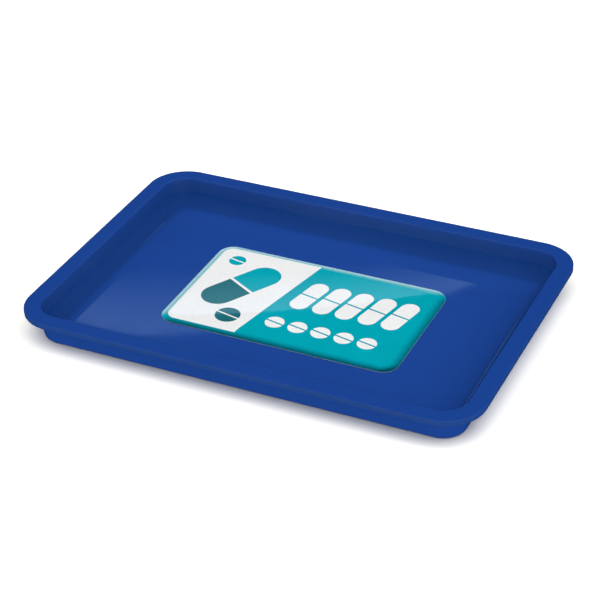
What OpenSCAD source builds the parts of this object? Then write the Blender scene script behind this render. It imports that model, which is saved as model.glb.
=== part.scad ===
// Shallow injection-moulded tray with a domed, printed label on its floor.
// Millimetres, +Z up. X runs along the tray and Y across it.
// The origin is the middle of the flat underside.

/* [Tray] */

// Overall length along X, over the flange
tray_l = 240; // [200:1:320]
// Overall width along Y, over the flange
tray_w = 168; // [140:1:240]
// Overall height, from the underside to the top of the flange
tray_h = 16.5; // [12:0.5:40]
// Plan radius of the flange's outer corners
corner_r = 21; // [17:0.5:40]
// Flat flange, from its outer edge to the inner wall
flange_w = 8.5; // [6:0.1:10]
// Thickness of the flange
flange_t = 2.2; // [1.6:0.1:3.2]
// How far the flange's turned-down edge reaches below the flange
lip_drop = 0.8; // [0.4:0.1:3]
// Thickness of the turned-down edge
lip_t = 1.8; // [1.2:0.1:2.4]
// Thickness of the side walls
wall_t = 2.2; // [1.6:0.1:3]
// Thickness of the floor
floor_t = 2.2; // [1.6:0.1:4]
// Draft of the side walls, in degrees from vertical
draft = 10; // [1:0.5:12]

/* [Tray edges] */

// Radius between the inner wall and the floor
floor_fillet_r = 6.5; // [1:0.1:8]
// Radius between the outer wall and the underside
base_round_r = 1.4; // [0.5:0.1:5]
// Radius of the flange's top outer edge
rim_round_r = 0.5; // [0.3:0.1:1.4]
// Radius where the flange rolls into the inner wall
mouth_round_r = 0.6; // [0.3:0.1:2]
// Radius between the outer wall and the flange's lower face
root_fillet_r = 1; // [0.3:0.1:2]
// Radius of the small edges of the turned-down edge
lip_round_r = 0.4; // [0.1:0.05:0.6]

/* [Label] */

// Length of the label along X
label_l = 127.4; // [100:0.2:160]
// Width of the label along Y
label_w = 78.6; // [64:0.2:96]
// Middle of the label along X, from the tray's middle
label_x = 0.8; // [-10:0.2:10]
// Middle of the label along Y, from the tray's middle
label_y = 0.2; // [-10:0.2:10]
// Plan radius of the label's corners
label_corner_r = 8.4; // [6:0.2:20]
// Thickness of the adhesive sheet
adhesive_t = 0.1; // [0.05:0.05:0.5]
// How far the adhesive sheet stays inside the film's outline
adhesive_inset = 0.5; // [0:0.1:2]
// Thickness of the white film
film_t = 0.2; // [0.1:0.05:0.5]
// Thickness of the printed ink
ink_t = 0.05; // [0.02:0.01:0.08]
// Height of the clear dome above the film
dome_h = 1.8; // [1:0.1:3]
// Upright part of the dome's edge
dome_edge_h = 0.4; // [0.2:0.05:0.8]
// Plan width of the dome's curved shoulder
dome_shoulder_w = 4.5; // [2:0.1:5.5]
// How far the dome stays inside the film's outline
dome_inset = 0.3; // [0:0.1:1]

/* [Artwork] */

// Coloured border between the white panel and the label's outline
border_w = 3.4; // [1:0.1:6]
// Plan radius of the white panel's corners
panel_corner_r = 5; // [1:0.5:12]
// Where the white panel ends along X, measured at the label's middle
split_x = -14; // [-30:1:10]
// Lean of the panel's end and of the upper row, in degrees from Y
lean = 12; // [0:1:25]
// Number of caplets in the upper row and of tablets in the lower row
row_count = 5; // [3:1:7]
// Gap between neighbours in a row
row_gap = 2.4; // [1:0.2:5]
// Clear space between a row and the ends of the coloured field
row_margin = 6.5; // [3:0.5:12]
// Overall length of a caplet
caplet_l = 27; // [16:0.5:32]
// Middle of the caplet row along Y
caplet_y = 8; // [4:0.5:14]
// Middle of the tablet row along Y
tablet_y = -20.5; // [-24:0.5:-12]
// Width of the score line across a tablet
score_w = 1; // [0.5:0.1:2]
// Overall length of the large two-tone capsule
capsule_l = 46; // [36:1:56]
// Diameter of the large two-tone capsule
capsule_d = 18; // [12:1:22]
// Tilt of the large capsule, in degrees from X
capsule_tilt = 60; // [0:5:90]
// Middle of the large capsule along Y
capsule_y = 4; // [-4:0.5:8]
// Gap between the two halves of the large capsule
capsule_gap = 1.6; // [0.6:0.2:3]
// Diameter of the dark tablet beside the capsule
dark_tablet_d = 13; // [8:0.5:16]
// Diameter of the light tablet beside the capsule
light_tablet_d = 9; // [5:0.5:12]
// Clear space between those two tablets and the panel's edges
symbol_margin = 6; // [2:0.5:9]

/* [Hidden] */

$fn = 96;

// A cut or a weld runs this far past the surface that it meets
overrun = 0.05;

blue = [0.11, 0.26, 0.57];
white = [0.93, 0.93, 0.93];
teal = [0.02, 0.62, 0.69];
dark_teal = [0.13, 0.45, 0.49];
clear = [0.9, 0.96, 0.98, 0.35];
amber = [0.85, 0.82, 0.72];

// Distance between the centres of the tray's corner arcs
core_x = tray_l - 2 * corner_r;
core_y = tray_w - 2 * corner_r;

// Wall faces, measured outwards from the centre of a corner arc at height z
function wall_inner(z) = corner_r - flange_w - (tray_h - z) * tan(draft);
function wall_outer(z) = wall_inner(z) + wall_t / cos(draft);

flange_z = tray_h - flange_t;
lip_z = flange_z - lip_drop;
lip_x = corner_r - lip_t;

// Each edge radius is limited by the faces that it joins
flange_under_w = lip_x - wall_outer(flange_z);
lip_edge_r = min(lip_round_r, lip_drop / 2, lip_t / 3);
rim_edge_r = min(rim_round_r, flange_t / 2);
root_edge_r = min(root_fillet_r, flange_under_w / 2);
fillet_face = wall_inner(floor_t) * tan(45 - draft / 2);
floor_edge_r = min(floor_fillet_r, fillet_face, (flange_z - floor_t) * 0.7);
base_edge_r = min(base_round_r, (flange_z - root_edge_r) / 2);

// Heights of the label's layers
adhesive_z = floor_t;
film_z = adhesive_z + adhesive_t;
print_z = film_z + film_t;

// The dome's shoulder is an arc from its upright edge to its flat top
dome_r = label_corner_r - dome_inset;
dome_core_x = label_l - 2 * label_corner_r;
dome_core_y = label_w - 2 * label_corner_r;
shoulder_rise = dome_h - dome_edge_h;
shoulder_w = min(dome_shoulder_w, dome_r);
shoulder_r = (shoulder_w ^ 2 + shoulder_rise ^ 2) / (2 * shoulder_rise);

// The caplets and tablets fill the coloured field from the split to the border,
// with diameters in whole hundredths of a millimetre
field_end = label_l / 2 - border_w - row_margin;
caplet_start = split_at(caplet_y) + row_margin;
row_room = field_end - caplet_start - (row_count - 1) * row_gap;
row_item_d = floor(100 * row_room / row_count) / 100;
row_pitch = row_item_d + row_gap;

function split_at(y) = split_x + y * tan(lean);

// The capsule lies in the middle of the white panel. The dark tablet lies in the
// panel's corner by the split, and the light one in the corner farthest from it
panel_left = border_w - label_l / 2;
panel_top = label_w / 2 - border_w;
capsule_at = [(panel_left + split_x) / 2, capsule_y];
dark_tablet_y = symbol_margin + dark_tablet_d / 2 - panel_top;
dark_tablet_at = [
  split_at(dark_tablet_y) - symbol_margin - dark_tablet_d / 2,
  dark_tablet_y
];
light_tablet_at = [
  panel_left + symbol_margin + light_tablet_d / 2,
  panel_top - symbol_margin - light_tablet_d / 2
];

// Circle of radius r that touches both edges of corner p, which run to a and b
function toward(p, a) = (a - p) / norm(a - p);
function half_angle(p, a, b) = acos(toward(p, a) * toward(p, b)) / 2;
function bisector(p, a, b) = toward([0, 0], toward(p, a) + toward(p, b));
function seat(p, a, b, r) = p + bisector(p, a, b) * r / sin(half_angle(p, a, b));
function touch(p, a, b, r) = p + toward(p, a) * r / tan(half_angle(p, a, b));

// Web between corner p and that circle: taken off it rounds an outer corner,
// added it fills an inner one
module corner_web(p, a, b, r) {
  difference() {
    polygon([
      p - bisector(p, a, b) * overrun,
      touch(p, a, b, r),
      seat(p, a, b, r),
      touch(p, b, a, r)
    ]);
    translate(seat(p, a, b, r)) circle(r);
  }
}

// Carries a section round a rounded rectangle. The section's X runs outwards
// from the centre of the corner arcs, which lie span_x by span_y apart
module swept(span_x, span_y) {
  for (q = [0 : 3]) {
    span = q % 2 == 0 ? span_x : span_y;
    side_x = q == 0 || q == 3 ? 1 : -1;
    side_y = q < 2 ? 1 : -1;
    translate([side_x * span_x / 2, side_y * span_y / 2, 0]) {
      rotate([0, 0, 90 * q])
        rotate_extrude(angle = 90) children();
      rotate([90, 0, 90 * q + 90])
        translate([0, 0, -span])
          linear_extrude(height = span) children();
    }
  }
}

module rounded_rect(l, w, r) {
  square([l - 2 * r, w], center = true);
  square([l, w - 2 * r], center = true);
  for (sx = [-1, 1], sy = [-1, 1])
    translate([sx * (l / 2 - r), sy * (w / 2 - r)]) circle(r);
}

// Half section of the tray: floor, drafted wall, flange and turned-down edge
module tray_section() {
  axis_low = [0, 0];
  axis_high = [0, floor_t];
  base = [wall_outer(0), 0];
  root = [wall_outer(flange_z), flange_z];
  lip_root = [lip_x, flange_z];
  lip_inner = [lip_x, lip_z];
  lip_outer = [corner_r, lip_z];
  rim = [corner_r, tray_h];
  mouth = [wall_inner(tray_h), tray_h];
  floor_corner = [wall_inner(floor_t), floor_t];
  difference() {
    polygon([
      axis_low, base, root, lip_root, lip_inner,
      lip_outer, rim, mouth, floor_corner, axis_high
    ]);
    corner_web(base, axis_low, root, base_edge_r);
    corner_web(lip_inner, lip_root, lip_outer, lip_edge_r);
    corner_web(lip_outer, lip_inner, rim, lip_edge_r);
    corner_web(rim, lip_outer, mouth, rim_edge_r);
    corner_web(mouth, rim, floor_corner, mouth_round_r);
  }
  corner_web(root, base, lip_root, root_edge_r);
  corner_web(lip_root, root, lip_inner, lip_edge_r);
  corner_web(floor_corner, mouth, axis_high, floor_edge_r);
}

module tray_moulding() {
  color(blue) {
    swept(core_x, core_y) tray_section();
    translate([0, 0, floor_t / 2])
      cube([core_x, core_y, floor_t], center = true);
  }
}

module label_outline(inset) {
  rounded_rect(label_l - 2 * inset, label_w - 2 * inset, label_corner_r - inset);
}

module label_adhesive() {
  color(amber)
    translate([label_x, label_y, adhesive_z])
      linear_extrude(height = adhesive_t) label_outline(adhesive_inset);
}

module label_film() {
  color(white)
    translate([label_x, label_y, film_z])
      linear_extrude(height = film_t) label_outline(0);
}

// White panel, inside the border and cut off by the leaning split
module white_panel() {
  intersection() {
    rounded_rect(label_l - 2 * border_w, label_w - 2 * border_w, panel_corner_r);
    polygon([
      [-label_l, -label_w],
      [split_at(-label_w), -label_w],
      [split_at(label_w), label_w],
      [-label_l, label_w]
    ]);
  }
}

// Half of a disc, on the +X side
module half_disc(d) {
  intersection() {
    circle(d = d);
    translate([0, -d]) square([d, 2 * d]);
  }
}

module stadium(l, d) {
  square([l - d, d], center = true);
  for (turn = [0, 180])
    rotate(turn) translate([(l - d) / 2, 0]) half_disc(d);
}

module scored_tablet(d) {
  difference() {
    circle(d = d);
    square([2 * d, score_w], center = true);
  }
}

module caplet_row() {
  for (i = [0 : row_count - 1])
    translate([caplet_start + row_item_d / 2 + i * row_pitch, caplet_y])
      rotate(90 - lean)
        difference() {
          stadium(max(caplet_l, row_item_d + score_w), row_item_d);
          square([score_w, 2 * row_item_d], center = true);
        }
}

module tablet_row() {
  first = split_at(tablet_y) + row_margin + row_item_d / 2;
  for (i = [0 : row_count - 1])
    translate([first + i * row_pitch, tablet_y])
      rotate(-lean) scored_tablet(row_item_d);
}

// One half of the large capsule; end is 1 for the upper half, -1 for the lower
module capsule_half(end) {
  translate(capsule_at)
    rotate(capsule_tilt)
      intersection() {
        stadium(capsule_l, capsule_d);
        translate([end * (capsule_l + capsule_gap) / 2, 0])
          square([capsule_l, 2 * capsule_d], center = true);
      }
}

module dark_print() {
  intersection() {
    label_outline(0);
    union() {
      capsule_half(-1);
      translate(dark_tablet_at)
        rotate(-lean) scored_tablet(dark_tablet_d);
    }
  }
}

module teal_print() {
  difference() {
    label_outline(0);
    difference() {
      white_panel();
      capsule_half(1);
      translate(light_tablet_at)
        rotate(-lean) scored_tablet(light_tablet_d);
    }
    caplet_row();
    tablet_row();
    dark_print();
  }
}

module label_ink_teal() {
  color(teal)
    translate([label_x, label_y, print_z])
      linear_extrude(height = ink_t) teal_print();
}

module label_ink_dark() {
  color(dark_teal)
    translate([label_x, label_y, print_z])
      linear_extrude(height = ink_t) dark_print();
}

// Half section of the clear dome, from the centre of a corner arc outwards
module dome_section() {
  square([dome_r - shoulder_w, dome_h]);
  intersection() {
    translate([dome_r - shoulder_w, dome_h - shoulder_r]) circle(shoulder_r);
    translate([dome_r - shoulder_w, 0]) square([shoulder_w, dome_h]);
  }
}

// The resin is poured over the print, so it follows the ink's upper face
module label_dome() {
  color(clear)
    translate([label_x, label_y, print_z])
      difference() {
        union() {
          swept(dome_core_x, dome_core_y) dome_section();
          translate([0, 0, dome_h / 2])
            cube([dome_core_x, dome_core_y, dome_h], center = true);
        }
        translate([0, 0, -overrun])
          linear_extrude(height = ink_t + overrun) {
            teal_print();
            dark_print();
          }
      }
}

tray_moulding();
label_adhesive();
label_film();
label_ink_teal();
label_ink_dark();
label_dome();
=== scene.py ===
from math import asin, cos, pi, radians, sin

import bmesh
import bpy
from mathutils import Matrix, Vector


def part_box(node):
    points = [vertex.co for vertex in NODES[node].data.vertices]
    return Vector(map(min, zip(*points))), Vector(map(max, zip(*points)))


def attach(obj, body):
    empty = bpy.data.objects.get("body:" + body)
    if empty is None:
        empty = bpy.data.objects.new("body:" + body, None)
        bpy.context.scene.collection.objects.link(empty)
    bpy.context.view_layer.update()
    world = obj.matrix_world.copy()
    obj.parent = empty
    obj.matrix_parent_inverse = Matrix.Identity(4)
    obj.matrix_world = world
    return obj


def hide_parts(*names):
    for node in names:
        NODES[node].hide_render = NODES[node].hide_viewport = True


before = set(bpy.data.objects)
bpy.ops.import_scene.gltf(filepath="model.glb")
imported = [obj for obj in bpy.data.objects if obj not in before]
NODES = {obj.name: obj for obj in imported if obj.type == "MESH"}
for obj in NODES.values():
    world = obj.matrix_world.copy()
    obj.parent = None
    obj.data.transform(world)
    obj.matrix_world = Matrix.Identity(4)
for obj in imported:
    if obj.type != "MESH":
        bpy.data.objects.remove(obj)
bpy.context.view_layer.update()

# ---------------------------------------------------------------- dimensions
# Metres, in the CAD frame: X along the tray, Y across it, Z up.
MM = 0.001
TRAY_LOW, TRAY_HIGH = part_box("tray_moulding")
FILM_LOW, FILM_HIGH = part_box("label_film")
INK_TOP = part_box("label_ink_teal")[1].z
DOME_LOW, DOME_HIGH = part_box("label_dome")
FLOOR_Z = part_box("label_adhesive")[0].z
TRAY_LENGTH = TRAY_HIGH.x - TRAY_LOW.x
TRAY_MID = (TRAY_LOW + TRAY_HIGH) / 2
TRAY_HALF = (TRAY_HIGH - TRAY_LOW) / 2
FILM_MID = (FILM_LOW + FILM_HIGH) / 2
FILM_HALF = (FILM_HIGH - FILM_LOW) / 2
DOME_HALF = (DOME_HIGH - DOME_LOW) / 2

# Plan radii and widths that the boxes don't give
TRAY_CORNER_R = 21 * MM
FLANGE_W = 8.5 * MM
WALL_SLOPE = 0.1763  # the wall's inward run for each unit of height, at 10 degrees of draft
LABEL_CORNER_R = 8.4 * MM
DOME_EDGE_H = 0.4 * MM
DOME_SHOULDER_W = 4.5 * MM
DOME_GAP = 0.02 * MM

# -------------------------------------------------------------------- camera
CAM_AZIMUTH = radians(25.182)
CAM_ELEVATION = radians(32.307)
CAM_ROLL = radians(-1.270)
CAM_DISTANCE = 3.8953 * TRAY_LENGTH
CAM_RIGHT = -0.00555 * TRAY_LENGTH
CAM_UP = 0.02172 * TRAY_LENGTH
CAM_LENS = 111.296
CAM_SENSOR = 36.0
CAM_CLIP = (0.01, 50)


def camera_axes():
    """Unit vectors forward, right and up of the camera before its roll."""
    forward = Vector((
        -sin(CAM_AZIMUTH) * cos(CAM_ELEVATION),
        cos(CAM_AZIMUTH) * cos(CAM_ELEVATION),
        -sin(CAM_ELEVATION),
    ))
    right = Vector((cos(CAM_AZIMUTH), sin(CAM_AZIMUTH), 0))
    return forward, right, right.cross(forward)


def camera_place():
    forward, right, up = camera_axes()
    return -forward * CAM_DISTANCE + right * CAM_RIGHT + up * CAM_UP


def make_camera():
    forward, right, up = camera_axes()
    rolled_right = right * cos(CAM_ROLL) + up * sin(CAM_ROLL)
    rolled_up = up * cos(CAM_ROLL) - right * sin(CAM_ROLL)
    turn = Matrix((rolled_right, rolled_up, -forward)).transposed()
    data = bpy.data.cameras.new("camera")
    data.lens = CAM_LENS
    data.sensor_width = CAM_SENSOR
    data.clip_start, data.clip_end = CAM_CLIP
    camera = bpy.data.objects.new("camera", data)
    camera.matrix_world = Matrix.Translation(camera_place()) @ turn.to_4x4()
    bpy.context.scene.collection.objects.link(camera)
    bpy.context.scene.camera = camera


# ------------------------------------------------------------- node building
def new_material(name):
    mat = bpy.data.materials.new(name)
    mat.use_nodes = True
    mat.node_tree.nodes.clear()
    return mat, mat.node_tree


def add(tree, kind, **values):
    """A node of that kind. Each value goes to the property or the input of that name."""
    node = tree.nodes.new("ShaderNode" + kind)
    for key, value in values.items():
        if hasattr(node, key):
            setattr(node, key, value)
        else:
            node.inputs[key.replace("_", " ")].default_value = value
    return node


def join(tree, source, target):
    tree.links.new(source, target)


def math(tree, operation, a, b=0.0, clamp=False):
    """A Math node. Each operand is a number or an output socket."""
    node = add(tree, "Math", operation=operation, use_clamp=clamp)
    for slot, value in enumerate((a, b)):
        if hasattr(value, "links"):
            join(tree, value, node.inputs[slot])
        else:
            node.inputs[slot].default_value = value
    return node.outputs[0]


def remap(tree, value, low, high, to_low=0.0, to_high=1.0, smooth=True):
    """Carries low..high to to_low..to_high, held flat outside."""
    kind = "SMOOTHSTEP" if smooth else "LINEAR"
    node = add(tree, "MapRange", interpolation_type=kind, clamp=True)
    join(tree, value, node.inputs["Value"])
    node.inputs["From Min"].default_value = low
    node.inputs["From Max"].default_value = high
    node.inputs["To Min"].default_value = to_low
    node.inputs["To Max"].default_value = to_high
    return node.outputs["Result"]


def blend_colour(tree, share, a, b):
    """Mixes colour a towards colour b by share."""
    node = add(tree, "Mix", data_type="RGBA")
    for socket, value in ((node.inputs[0], share), (node.inputs[6], a), (node.inputs[7], b)):
        if hasattr(value, "links"):
            join(tree, value, socket)
        elif isinstance(value, (int, float)):
            socket.default_value = value
        else:
            socket.default_value = (*value, 1)
    return node.outputs[2]


def around(origin, span):
    """A span of distances from origin, as two positions."""
    return origin + span[0], origin + span[1]


def noise(tree, place, scale, detail=2.0, roughness=0.5, stretch=None):
    """Noise in object space. scale is in features a metre."""
    if stretch:
        mapping = add(tree, "Mapping")
        mapping.inputs["Scale"].default_value = stretch
        join(tree, place, mapping.inputs["Vector"])
        place = mapping.outputs[0]
    node = add(tree, "TexNoise", Scale=scale, Detail=detail, Roughness=roughness)
    join(tree, place, node.inputs["Vector"])
    return node.outputs["Fac"]


def object_place(tree):
    coords = add(tree, "TexCoord")
    split = add(tree, "SeparateXYZ")
    join(tree, coords.outputs["Object"], split.inputs[0])
    return coords.outputs["Object"], split.outputs


TINY = 1e-6


def outline_distance(tree, axes, middle, half, radius):
    """How far a point lies inside a rounded rectangle, and the outward direction there.

    Further in than one corner radius the distance stays at that radius, and the direction
    is nothing.
    """
    off_x = math(tree, "SUBTRACT", axes[0], middle.x)
    off_y = math(tree, "SUBTRACT", axes[1], middle.y)
    past_x = math(tree, "MAXIMUM", math(tree, "SUBTRACT", math(tree, "ABSOLUTE", off_x),
                                        half.x - radius), 0.0)
    past_y = math(tree, "MAXIMUM", math(tree, "SUBTRACT", math(tree, "ABSOLUTE", off_y),
                                        half.y - radius), 0.0)
    reach = math(tree, "SQRT", math(tree, "ADD", math(tree, "MULTIPLY", past_x, past_x),
                                    math(tree, "MULTIPLY", past_y, past_y)))
    safe = math(tree, "MAXIMUM", reach, TINY)
    out_x = math(tree, "MULTIPLY", math(tree, "DIVIDE", past_x, safe),
                 math(tree, "SIGN", off_x))
    out_y = math(tree, "MULTIPLY", math(tree, "DIVIDE", past_y, safe),
                 math(tree, "SIGN", off_y))
    return math(tree, "SUBTRACT", radius, reach), out_x, out_y


def bump(tree, height, distance, strength=1.0, after=None):
    node = add(tree, "Bump", Strength=strength, Distance=distance)
    join(tree, height, node.inputs["Height"])
    if after:
        join(tree, after, node.inputs["Normal"])
    return node.outputs["Normal"]


def finish_material(tree, shader):
    out = add(tree, "OutputMaterial")
    join(tree, shader, out.inputs["Surface"])


def principled(tree, ior, specular, colour, rough, normal):
    """An opaque shader, joined to the material's output."""
    shader = add(tree, "BsdfPrincipled", IOR=ior)
    shader.inputs["Specular IOR Level"].default_value = specular
    join(tree, colour, shader.inputs["Base Color"])
    join(tree, rough, shader.inputs["Roughness"])
    join(tree, normal, shader.inputs["Normal"])
    finish_material(tree, shader.outputs[0])


# ----------------------------------------------------------------- materials
BLUE_POLISHED = (0.0126, 0.0598, 0.2990)
BLUE_SATIN = (0.0078, 0.0525, 0.2820)
# Painted shade for the pan's steep walls and the lip's outer face
BLUE_PAINTED_WALL_SHADE = (0.0080, 0.0490, 0.2330)
# Painted shade for the floor and fillet at the foot of the pan's walls
BLUE_PAINTED_FOOT_SHADE = (0.0095, 0.0440, 0.2080)
# Worn edges, lightened partly as a painted highlight
BLUE_WORN_HIGHLIGHT = (0.0220, 0.0800, 0.3300)
SATIN_ROUGHNESS = 0.36
POLISHED_ROUGHNESS = 0.045

# The spans of a noise's values over which a tone is spread
NARROW = (0.35, 0.65)
WIDE = (0.3, 0.7)

# Zones of the tray: the spans over which one finish, tone or painted shade gives way to the
# next.
# Heights above the pan's floor
SATIN_ABOVE = (3.5 * MM, 9.0 * MM)
SATIN_BELOW = (-0.8 * MM, -0.2 * MM)
PAN_BOTTOM = (-1.0 * MM, -0.5 * MM)
FOOT_PAINTED_SHADE_TOP = (2.0 * MM, 6.0 * MM)
# Depths in from the tray's outline; the wall's middle with the draft taken off
LIP_PAINTED_SHADE = (0.4 * MM, 1.2 * MM)
WALL_START = (FLANGE_W, FLANGE_W + 0.6 * MM)
WALL_MIDDLE = (FLANGE_W - 1.3 * MM, FLANGE_W - 0.7 * MM)
FOOT_PAINTED_SHADE_END = (14.0 * MM, 19.0 * MM)
# How level a face is: the size of its normal's Z, from steep to level
LEVEL = (0.78, 0.995)
# Worn edges with a painted highlight: heights from the tray's top, depths from its outline,
# distances from the mouth
WEAR_HEIGHT = (-1.6 * MM, -0.3 * MM)
RIM_WEAR = (0.15 * MM, 1.0 * MM)
MOUTH_WEAR = (0.1 * MM, 0.8 * MM)
WEAR_HIGHLIGHT_TINT = 0.1
WEAR_SHINE = 0.04

# Noises of the tray, in features a metre, and the heights of its relief
DRIFT_SCALE, SPECKLE_SCALE, PATCH_SCALE = 22, 1700, 140
SMUDGE_SCALE, SCUFF_SCALE = 55, 260
PEEL_SCALE, GRAIN_SCALE = 210, 2600
SCUFF_STRETCH = (0.12, 1.0, 1.0)
PEEL_HEIGHT = 0.004 * MM
GRAIN_HEIGHT = 0.018 * MM
TRAY_RELIEF = 0.6
TRAY_IOR = 1.5
TRAY_SPECULAR = 0.3


def tray_colour_and_painted_shade(tree, axes, depth, satin):
    """The tray's pigment: one blue, with painted shade on the lip's face, the pan's walls and
    the floor at their foot.
    """
    facing = add(tree, "SeparateXYZ")
    join(tree, add(tree, "TexCoord").outputs["Normal"], facing.inputs[0])
    steep = remap(tree, math(tree, "ABSOLUTE", facing.outputs[2]), *LEVEL, 1.0, 0.0)

    # The pan's side of the wall: inwards of the wall's middle and above the underside
    on_wall = remap(tree, depth, *WALL_START)
    drop = math(tree, "SUBTRACT", TRAY_HIGH.z, axes[2])
    inward = math(tree, "SUBTRACT", depth, math(tree, "MULTIPLY", drop, WALL_SLOPE))
    inside = remap(tree, inward, *WALL_MIDDLE)
    upper = remap(tree, axes[2], *around(FLOOR_Z, PAN_BOTTOM))
    in_pan = math(tree, "MULTIPLY", math(tree, "MULTIPLY", inside, upper), on_wall)

    # Painted shade on steep faces: the pan's walls and the lip's outer face are coloured
    # darker
    on_lip = remap(tree, depth, *LIP_PAINTED_SHADE, 1.0, 0.0)
    painted_wall_shade = math(tree, "MULTIPLY", steep, math(tree, "MAXIMUM", in_pan, on_lip))
    # Painted shade on the floor and fillet at the foot of the pan's walls, fading out away
    # from the wall
    low = remap(tree, axes[2], *around(FLOOR_Z, FOOT_PAINTED_SHADE_TOP), 1.0, 0.0)
    near_foot = remap(tree, depth, *FOOT_PAINTED_SHADE_END, 1.0, 0.0)
    painted_foot_shade = math(tree, "MULTIPLY", in_pan, math(tree, "MULTIPLY", low, near_foot))

    colour = blend_colour(tree, satin, BLUE_POLISHED, BLUE_SATIN)
    colour = blend_colour(tree, painted_wall_shade, colour, BLUE_PAINTED_WALL_SHADE)
    return blend_colour(tree, painted_foot_shade, colour, BLUE_PAINTED_FOOT_SHADE)


def edge_wear_and_highlight(tree, place, axes, depth):
    """Patchy wear with a painted highlight along the outer rim, and along the mouth where the
    flange rolls into the wall.
    """
    high = remap(tree, axes[2], *around(TRAY_HIGH.z, WEAR_HEIGHT))
    rim = remap(tree, depth, *RIM_WEAR, 1.0, 0.0)
    from_mouth = math(tree, "ABSOLUTE", math(tree, "SUBTRACT", depth, FLANGE_W))
    mouth = remap(tree, from_mouth, *MOUTH_WEAR, 1.0, 0.0)
    edge = math(tree, "MULTIPLY", math(tree, "MAXIMUM", rim, mouth), high)
    patchy = remap(tree, noise(tree, place, PATCH_SCALE, 3.0), 0.3, 0.65, 0.35, 1.0)
    return math(tree, "MULTIPLY", edge, patchy)


def tray_plastic():
    """Blue moulded plastic: polished pan, satin walls and flange, painted shade on the pan's
    walls, their foot and the lip's face, and burnished edges with a painted highlight.
    """
    mat, tree = new_material("tray_plastic")
    place, axes = object_place(tree)
    depth, _, _ = outline_distance(tree, axes, TRAY_MID, TRAY_HALF, TRAY_CORNER_R)

    # The pan's floor and fillet are polished, everything above and below them is satin
    above = remap(tree, axes[2], *around(FLOOR_Z, SATIN_ABOVE))
    below = remap(tree, axes[2], *around(FLOOR_Z, SATIN_BELOW), 1.0, 0.0)
    satin = math(tree, "MAXIMUM", above, below)

    # Pigment with its painted shade, a slow drift over the moulding and a fine speckle
    drift = remap(tree, noise(tree, place, DRIFT_SCALE, 3.0), *NARROW, 0.985, 1.015)
    speckle = remap(tree, noise(tree, place, SPECKLE_SCALE), *NARROW, 0.97, 1.03)
    tone = add(tree, "VectorMath", operation="SCALE")
    join(tree, tray_colour_and_painted_shade(tree, axes, depth, satin), tone.inputs[0])
    join(tree, math(tree, "MULTIPLY", drift, speckle), tone.inputs["Scale"])
    # Patchy edge wear, partly a painted highlight, lightens the rim and the mouth edges
    worn_highlight = edge_wear_and_highlight(tree, place, axes, depth)
    tint = math(tree, "MULTIPLY", worn_highlight, WEAR_HIGHLIGHT_TINT)
    colour = blend_colour(tree, tint, tone.outputs[0], BLUE_WORN_HIGHLIGHT)

    # Finish: smudges, fine scuffs along the tray, and burnished edges
    smudge = remap(tree, noise(tree, place, SMUDGE_SCALE, 4.0, 0.6), 0.35, 0.7, -0.01, 0.015)
    scuffs = noise(tree, place, SCUFF_SCALE, stretch=SCUFF_STRETCH)
    scuff = remap(tree, scuffs, 0.62, 0.72, 0.0, 0.04)
    marks = math(tree, "ADD", smudge, scuff)
    base_rough = remap(tree, satin, 0.0, 1.0, POLISHED_ROUGHNESS, SATIN_ROUGHNESS, False)
    rough = math(tree, "ADD", base_rough, marks)
    rough = math(tree, "SUBTRACT", rough, math(tree, "MULTIPLY", worn_highlight, WEAR_SHINE))

    # Relief: long orange peel everywhere, fine spark grain on the satin faces
    peel = noise(tree, place, PEEL_SCALE)
    grain = math(tree, "MULTIPLY", noise(tree, place, GRAIN_SCALE, 3.0, 0.6), satin)
    normal = bump(tree, peel, PEEL_HEIGHT, TRAY_RELIEF)
    normal = bump(tree, grain, GRAIN_HEIGHT, TRAY_RELIEF, after=normal)

    principled(tree, TRAY_IOR, TRAY_SPECULAR, colour, rough, normal)
    return mat


# How much the painted highlight of the bevel grows towards +X and +Y; the opposite side gets
# painted shade
PAINTED_BEVEL_LEAN = (-0.75, 0.95)


def painted_bevel_light(tree, axes, band):
    """Shares of painted highlight and painted shade along the label's edge, as if a domed
    bevel were lit from the back left:
    painted highlight along the back and the left edge, painted shade along the front and the
    right edge."""
    inside, out_x, out_y = outline_distance(tree, axes, FILM_MID, FILM_HALF, LABEL_CORNER_R)
    near = remap(tree, inside, 0.0, band, 1.0, 0.0)
    lean = math(tree, "ADD", math(tree, "MULTIPLY", out_x, PAINTED_BEVEL_LEAN[0]),
                math(tree, "MULTIPLY", out_y, PAINTED_BEVEL_LEAN[1]))
    light = math(tree, "MULTIPLY", near, math(tree, "MAXIMUM", lean, 0.0), clamp=True)
    dark = math(tree, "MULTIPLY", near,
                math(tree, "MAXIMUM", math(tree, "MULTIPLY", lean, -1.0), 0.0), clamp=True)
    return light, dark


TEAL = (0.0000, 0.3700, 0.4550)
# Painted shade and painted highlight for the teal ink's edge band
TEAL_PAINTED_SHADE = (0.0005, 0.0700, 0.1150)
TEAL_PAINTED_HIGHLIGHT = (0.7000, 0.9000, 0.9100)
DARK_TEAL = (0.0150, 0.1500, 0.1830)
WHITE = (0.8750, 0.8800, 0.8800)
# Painted shade and painted highlight for the white film's edge band
WHITE_PAINTED_SHADE = (0.4200, 0.5000, 0.5100)
WHITE_PAINTED_HIGHLIGHT = (0.8000, 0.8600, 0.8700)
# Widths of the bands of painted highlight and painted shade along the label's edge
WHITE_PAINTED_BEVEL_W = 4.6 * MM
TEAL_PAINTED_BEVEL_W = 5.2 * MM
INK_IOR = 1.45
INK_SPECULAR = 0.02
INK_RELIEF = 0.004 * MM
LABEL_RELIEF = 0.5
MOTTLE_SCALE, DENSITY_SCALE, GLAZE_SCALE, PAPER_SCALE = 900, 30, 400, 1500


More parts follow.
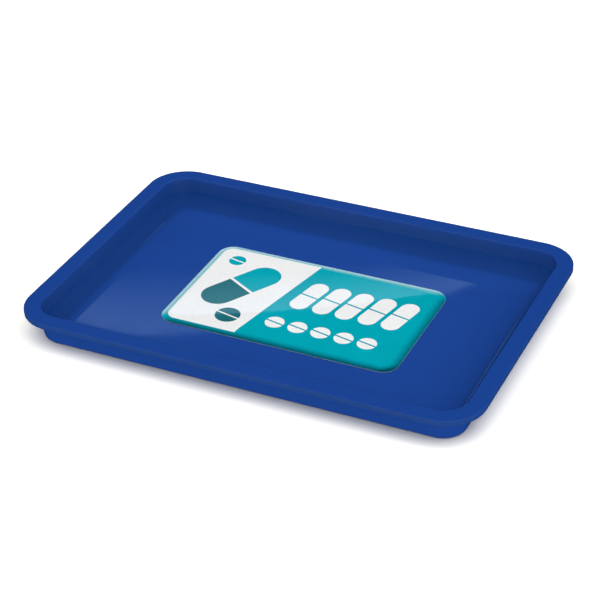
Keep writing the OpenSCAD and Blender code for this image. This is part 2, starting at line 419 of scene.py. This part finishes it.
def ink(name, colour, shade=None, light=None, band=0):
    """Printed ink: halftone mottle, a satin film, and painted highlight and painted shade
    along the label's edge if it has a band.
    """
    mat, tree = new_material(name)
    place, axes = object_place(tree)
    mottle = remap(tree, noise(tree, place, MOTTLE_SCALE, 3.0, 0.6), *WIDE, 0.965, 1.035)
    density = remap(tree, noise(tree, place, DENSITY_SCALE), *WIDE, 0.98, 1.02)
    tone = add(tree, "VectorMath", operation="SCALE")
    tone.inputs[0].default_value = colour
    join(tree, math(tree, "MULTIPLY", mottle, density), tone.inputs["Scale"])
    painted = tone.outputs[0]
    # Painted highlight along the back and left edges, painted shade along the front and right
    # edges
    if band:
        bright, dark = painted_bevel_light(tree, axes, band)
        painted = blend_colour(tree, dark, painted, shade)
        painted = blend_colour(tree, bright, painted, light)
    rough = remap(tree, noise(tree, place, GLAZE_SCALE), *WIDE, 0.42, 0.55)
    normal = bump(tree, noise(tree, place, PAPER_SCALE), INK_RELIEF, LABEL_RELIEF)
    principled(tree, INK_IOR, INK_SPECULAR, painted, rough, normal)
    return mat


ADHESIVE_DULL = (0.62, 0.57, 0.42)
ADHESIVE_PALE = (0.74, 0.71, 0.58)
ADHESIVE_IOR = 1.47
ADHESIVE_SPECULAR = 0.5
CLOUD_SCALE, BUBBLE_SCALE = 160, 900
BUBBLE_SPAN = (0.05, 0.25)
BUBBLE_HEIGHT = 0.01 * MM


def adhesive():
    """Amber pressure-sensitive sheet with small trapped bubbles."""
    mat, tree = new_material("adhesive")
    place, _ = object_place(tree)
    cloud = noise(tree, place, CLOUD_SCALE, 4.0, 0.6)
    colour = blend_colour(tree, cloud, ADHESIVE_DULL, ADHESIVE_PALE)
    bubbles = add(tree, "TexVoronoi", Scale=BUBBLE_SCALE)
    join(tree, place, bubbles.inputs["Vector"])
    dots = remap(tree, bubbles.outputs["Distance"], *BUBBLE_SPAN)
    rough = remap(tree, cloud, *WIDE, 0.35, 0.6)
    normal = bump(tree, dots, BUBBLE_HEIGHT, LABEL_RELIEF)
    principled(tree, ADHESIVE_IOR, ADHESIVE_SPECULAR, colour, rough, normal)
    return mat


RESIN_IOR = 1.5
RESIN_SPECULAR = 0.25
RESIN_TINT = (0.985, 0.995, 1.0)
RESIN_CLEAR = (0.995, 1.0, 1.0)
RESIN_WAVE = 0.004 * MM
TINT_SCALE, HAZE_SCALE, WAVE_SCALE = 40, 120, 60


def clear_resin():
    """Clear cast resin. Only the camera meets it as glass, so it doesn't shade the print."""
    mat, tree = new_material("clear_resin")
    place, _ = object_place(tree)
    glass = add(tree, "BsdfPrincipled", IOR=RESIN_IOR, Transmission_Weight=1.0)
    glass.inputs["Specular IOR Level"].default_value = RESIN_SPECULAR
    cast = remap(tree, noise(tree, place, TINT_SCALE), *WIDE)
    tint = blend_colour(tree, cast, RESIN_TINT, RESIN_CLEAR)
    rough = remap(tree, noise(tree, place, HAZE_SCALE, 3.0), *WIDE, 0.015, 0.04)
    wave = bump(tree, noise(tree, place, WAVE_SCALE, 1.0), RESIN_WAVE, LABEL_RELIEF)
    join(tree, tint, glass.inputs["Base Color"])
    join(tree, rough, glass.inputs["Roughness"])
    join(tree, wave, glass.inputs["Normal"])
    clear = add(tree, "BsdfTransparent")
    path = add(tree, "LightPath")
    mix = add(tree, "MixShader")
    join(tree, path.outputs["Is Camera Ray"], mix.inputs[0])
    join(tree, clear.outputs[0], mix.inputs[1])
    join(tree, glass.outputs[0], mix.inputs[2])
    finish_material(tree, mix.outputs[0])
    return mat


def paint(node, mat):
    """Puts the material in every slot of a CAD node."""
    for slot in NODES[node].material_slots:
        slot.material = mat


# ---------------------------------------------------------------- clear dome
CORNER_STEPS = 24
SHOULDER_STEPS = 14
WELD = 1e-7


def rounded_loop(half_x, half_y, radius):
    """Points round a rounded rectangle, from the +X side, anticlockwise."""
    points = []
    for quarter, (sx, sy) in enumerate(((1, 1), (-1, 1), (-1, -1), (1, -1))):
        for step in range(CORNER_STEPS + 1):
            turn = (quarter + step / CORNER_STEPS) * pi / 2
            points.append((
                sx * (half_x - radius) + radius * cos(turn),
                sy * (half_y - radius) + radius * sin(turn),
            ))
    return points


def dome_profile():
    """(inset, height) pairs up the dome's edge and over its shoulder."""
    rise = DOME_HIGH.z - DOME_LOW.z - DOME_EDGE_H
    arc_r = (DOME_SHOULDER_W ** 2 + rise ** 2) / (2 * rise)
    sweep = asin(DOME_SHOULDER_W / arc_r)
    rows = [(0.0, INK_TOP + DOME_GAP)]
    for step in range(SHOULDER_STEPS + 1):
        tilt = sweep * (1 - step / SHOULDER_STEPS)
        rows.append((
            DOME_SHOULDER_W - arc_r * sin(tilt),
            DOME_HIGH.z - arc_r * (1 - cos(tilt)),
        ))
    return rows


def make_dome(mat):
    """The dome as one closed skin, resting a hair above the print."""
    mesh = bpy.data.meshes.new("clear_dome")
    bm = bmesh.new()
    rings = []
    for inset, height in dome_profile():
        loop = rounded_loop(
            DOME_HALF.x - inset,
            DOME_HALF.y - inset,
            LABEL_CORNER_R - (FILM_HALF.x - DOME_HALF.x) - inset,
        )
        rings.append([bm.verts.new((FILM_MID.x + x, FILM_MID.y + y, height)) for x, y in loop])
    count = len(rings[0])
    for lower, upper in zip(rings, rings[1:]):
        for i in range(count):
            j = (i + 1) % count
            bm.faces.new((lower[i], lower[j], upper[j], upper[i])).smooth = True
    bm.faces.new(rings[-1]).smooth = True
    bm.faces.new(reversed(rings[0]))
    bmesh.ops.remove_doubles(bm, verts=bm.verts[:], dist=WELD)
    bmesh.ops.recalc_face_normals(bm, faces=bm.faces[:])
    bm.to_mesh(mesh)
    bm.free()
    mesh.materials.append(mat)
    dome = bpy.data.objects.new("clear_dome", mesh)
    bpy.context.scene.collection.objects.link(dome)
    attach(dome, "root")
    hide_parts("label_dome")


# -------------------------------------------------------------------- studio
WORLD_STRENGTH = 1.22
FLAG_INNER = radians(28)  # the flag is black within this angle of the mirrored view
FLAG_OUTER = radians(58)  # and has faded out beyond this one
SKY_LEAN = (0.10, 0.14, 0.35)  # which way the sky brightens, and by how much
GROUND_HALF = 4.0

# The ground as the camera sees it, and as everything else meets it
GROUND_SEEN = (1.36, 1.34, 1.24)
CONTACT_REACH = 10 * MM
CONTACT_DEPTH = 0.65
CONTACT_SAMPLES = 4
GROUND_ALBEDO = 0.2
GROUND_GLOW = 0.75

# The edge of the gloss on the tray's floor, from front left to back right, and how far
# behind it the gloss fades out: x, y and depth in millimetres
GLOSS_EDGE = (
    (-116.0, -57.0, 74.0),
    (-90.0, -57.0, 70.0),
    (-72.0, -56.4, 66.5),
    (-61.0, -54.0, 65.0),
    (-46.0, -46.0, 62.0),
    (-30.0, -36.8, 59.0),
    (0.0, -17.0, 52.0),
    (32.0, 9.0, 45.0),
    (63.0, 41.0, 37.0),
    (75.0, 58.0, 31.0),
    (81.6, 71.0, 27.0),
    (92.0, 98.0, 20.0),
)
GLOSS_BEHIND = Vector((-0.595, 0.80))
GLOSS_STEPS = 10
GLOSS_COLOUR = (0.45, 0.71, 1.0)
GLOSS_STRENGTH = 1.38
CARD_DISTANCE = 0.8


def gloss_axis():
    """The camera's forward direction, mirrored in the ground."""
    facing, _, _ = camera_axes()
    return Vector((facing.x, facing.y, -facing.z))


def make_world():
    """A white studio, brighter overhead and hidden from gloss, with a black flag where
    level faces would mirror it."""
    world = bpy.data.worlds.new("studio")
    world.use_nodes = True
    tree = world.node_tree
    back = tree.nodes["Background"]
    back.inputs["Color"].default_value = (1, 1, 1, 1)
    coords = add(tree, "TexCoord")
    along = add(tree, "VectorMath", operation="DOT_PRODUCT")
    join(tree, coords.outputs["Generated"], along.inputs[0])
    along.inputs[1].default_value = gloss_axis()
    flagged = remap(tree, along.outputs["Value"], cos(FLAG_OUTER), cos(FLAG_INNER), 1.0, 0.0)
    lean = add(tree, "VectorMath", operation="DOT_PRODUCT")
    join(tree, coords.outputs["Generated"], lean.inputs[0])
    lean.inputs[1].default_value = SKY_LEAN
    tilt = math(tree, "ADD", lean.outputs["Value"], 1.0)
    level = math(tree, "MULTIPLY", flagged, tilt)
    join(tree, math(tree, "MULTIPLY", level, WORLD_STRENGTH), back.inputs["Strength"])
    world.cycles_visibility.glossy = False
    world.cycles.sampling_method = "NONE"
    bpy.context.scene.world = world


def make_ground():
    """A dim, softly glowing ground. The camera sees it pale, with a contact shadow."""
    mesh = bpy.data.meshes.new("ground")
    h = GROUND_HALF
    z = TRAY_LOW.z
    mesh.from_pydata([(-h, -h, z), (h, -h, z), (h, h, z), (-h, h, z)], [], [(0, 1, 2, 3)])
    mat, tree = new_material("ground")
    contact = add(tree, "AmbientOcclusion", samples=CONTACT_SAMPLES, Distance=CONTACT_REACH)
    open_share = math(tree, "POWER", contact.outputs["AO"], CONTACT_DEPTH)
    tone = add(tree, "VectorMath", operation="SCALE")
    tone.inputs[0].default_value = GROUND_SEEN
    join(tree, open_share, tone.inputs["Scale"])
    seen = add(tree, "BsdfDiffuse")
    join(tree, tone.outputs[0], seen.inputs["Color"])
    real = add(tree, "BsdfDiffuse", Color=(GROUND_ALBEDO,) * 3 + (1,))
    glow = add(tree, "Emission", Color=(1, 1, 1, 1), Strength=GROUND_GLOW)
    lit = add(tree, "AddShader")
    path = add(tree, "LightPath")
    mix = add(tree, "MixShader")
    join(tree, real.outputs[0], lit.inputs[0])
    join(tree, glow.outputs[0], lit.inputs[1])
    join(tree, path.outputs["Is Camera Ray"], mix.inputs[0])
    join(tree, lit.outputs[0], mix.inputs[1])
    join(tree, seen.outputs[0], mix.inputs[2])
    finish_material(tree, mix.outputs[0])
    mesh.materials.append(mat)
    ground = bpy.data.objects.new("ground", mesh)
    ground.visible_glossy = False
    bpy.context.scene.collection.objects.link(ground)


def mirrored_hit(x, y):
    """Where the camera's ray to that floor point, mirrored in the floor, meets the card."""
    spot = Vector((x * MM, y * MM, FLOOR_Z))
    ray = spot - camera_place()
    ray.z = -ray.z
    facing = gloss_axis()
    reach = (CARD_DISTANCE - spot.dot(facing)) / ray.dot(facing)
    return spot + ray * reach


def make_gloss_card():
    """A curved soft card behind the tray, seen only in gloss, that fades out from its edge."""
    mesh = bpy.data.meshes.new("gloss_card")
    bm = bmesh.new()
    fade = bm.loops.layers.uv.new("fade")
    rows = []
    for x, y, depth in GLOSS_EDGE:
        row = []
        for step in range(GLOSS_STEPS + 1):
            spot = Vector((x, y)) + GLOSS_BEHIND * (depth * step / GLOSS_STEPS)
            row.append(bm.verts.new(mirrored_hit(spot.x, spot.y)))
        rows.append(row)
    for a, b in zip(rows, rows[1:]):
        for i in range(GLOSS_STEPS):
            face = bm.faces.new((a[i], b[i], b[i + 1], a[i + 1]))
            for loop, step in zip(face.loops, (i, i, i + 1, i + 1)):
                loop[fade].uv = (0, step / GLOSS_STEPS)
    bm.to_mesh(mesh)
    bm.free()
    mat, tree = new_material("gloss_card")
    coords = add(tree, "UVMap", uv_map="fade")
    split = add(tree, "SeparateXYZ")
    join(tree, coords.outputs[0], split.inputs[0])
    strength = math(tree, "MULTIPLY", math(tree, "SUBTRACT", 1.0, split.outputs[1]),
                    GLOSS_STRENGTH)
    glow = add(tree, "Emission", Color=(*GLOSS_COLOUR, 1))
    join(tree, strength, glow.inputs["Strength"])
    finish_material(tree, glow.outputs[0])
    mesh.materials.append(mat)
    card = bpy.data.objects.new("gloss_card", mesh)
    card.visible_camera = False
    card.visible_diffuse = False
    card.visible_shadow = False
    card.visible_transmission = False
    bpy.context.scene.collection.objects.link(card)


# ------------------------------------------------------------------ assembly
make_camera()
make_world()
make_ground()
make_gloss_card()
paint("tray_moulding", tray_plastic())
paint("label_adhesive", adhesive())
paint("label_film", ink("white_film", WHITE, WHITE_PAINTED_SHADE, WHITE_PAINTED_HIGHLIGHT, WHITE_PAINTED_BEVEL_W))
paint("label_ink_teal", ink("teal_ink", TEAL, TEAL_PAINTED_SHADE, TEAL_PAINTED_HIGHLIGHT, TEAL_PAINTED_BEVEL_W))
paint("label_ink_dark", ink("dark_teal_ink", DARK_TEAL))
make_dome(clear_resin())
bpy.context.scene.view_settings.view_transform = "Standard"
